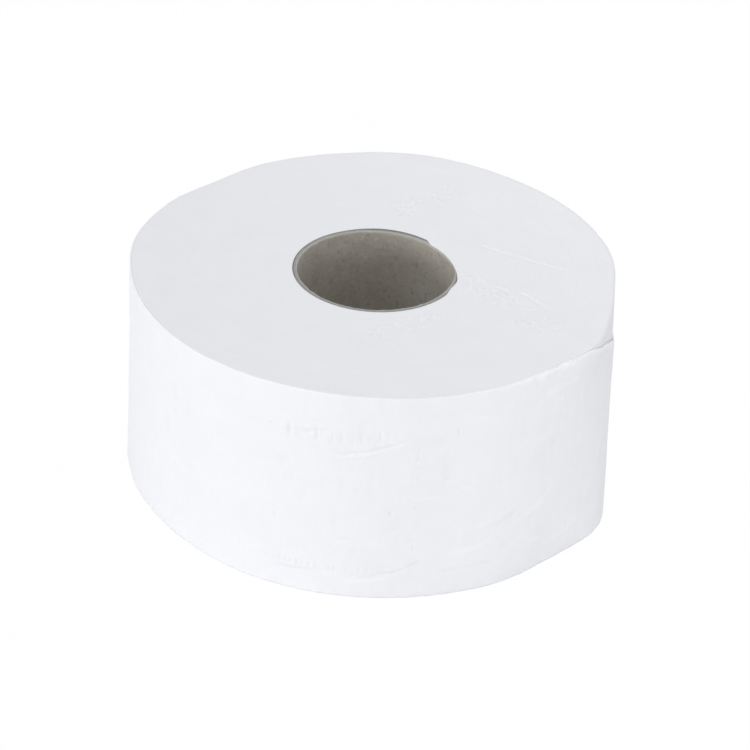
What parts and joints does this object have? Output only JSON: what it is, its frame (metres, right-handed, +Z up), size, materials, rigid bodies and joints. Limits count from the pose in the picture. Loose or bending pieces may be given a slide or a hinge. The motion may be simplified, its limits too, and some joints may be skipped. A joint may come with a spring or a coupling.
{
  "type": "toilet paper roll",
  "caption": "Jumbo toilet paper roll standing on its end: white two-ply paper wound on a grey paperboard core, with a loose torn last sheet.",
  "frame": {"origin": "on the core's axis, in the lower end face that the roll stands on", "axes": "+Z up along the core; +X and +Y in the end face, with the torn edge of the loose sheet leaving the upper rim between -Y and +X"},
  "size_m": [0.1866, 0.1815, 0.086],
  "materials": {
    "core_board": "matt recycled paperboard, grey-brown and speckled",
    "tissue_paper": "matt soft white tissue, faintly creped"
  },
  "bodies": {
    "root": {"core_tube": "core_board", "paper_winding": "tissue_paper"}
  },
  "joints": []
}
